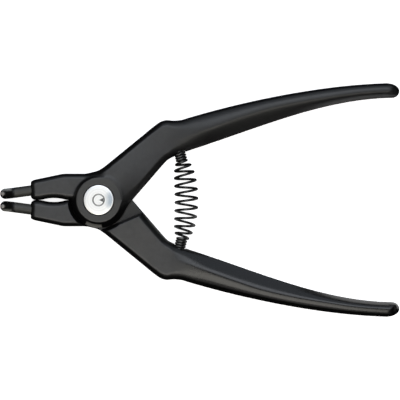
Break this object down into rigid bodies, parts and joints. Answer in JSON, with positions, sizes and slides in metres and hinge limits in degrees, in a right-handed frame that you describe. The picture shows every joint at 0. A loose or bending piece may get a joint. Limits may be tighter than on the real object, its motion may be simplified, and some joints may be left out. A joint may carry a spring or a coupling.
{
  "type": "circlip pliers",
  "caption": "External circlip pliers: forged lap-joint levers with long tapered handles, a barrel return spring and round pin tips bent square to the jaws and ground to fine ends.",
  "frame": {"origin": "on the hinge axis, in the plane of the back boss face", "axes": "+X from the hinge to the handle ends, +Y to the upper lever's handle, +Z along the hinge axis towards the rivet's bright head and the ends of the bent tips"},
  "size_m": [0.1753, 0.1028, 0.0195],
  "materials": {
    "lever_finish": "satin black coating over forged steel",
    "bright_steel": "bright turned face",
    "blackened_steel": "blackened steel",
    "spring_wire": "black spring wire"
  },
  "bodies": {
    "lower": {"lower_lever": "lever_finish", "lower_tip": "blackened_steel", "lower_spring_peg": "blackened_steel", "pivot_rivet": "bright_steel", "return_spring": "spring_wire"},
    "upper": {"upper_lever": "lever_finish", "upper_tip": "blackened_steel", "upper_spring_peg": "blackened_steel"}
  },
  "joints": [
    {"name": "squeeze", "type": "hinge", "parent": "lower", "child": "upper", "pos_m": [0, 0, 0.0055], "axis": [0, 0, -1], "range_deg": [0, 30], "stiffness_Nm_per_rad": 1.5, "springref_deg": -9.74, "deforming": ["return_spring"]}
  ]
}
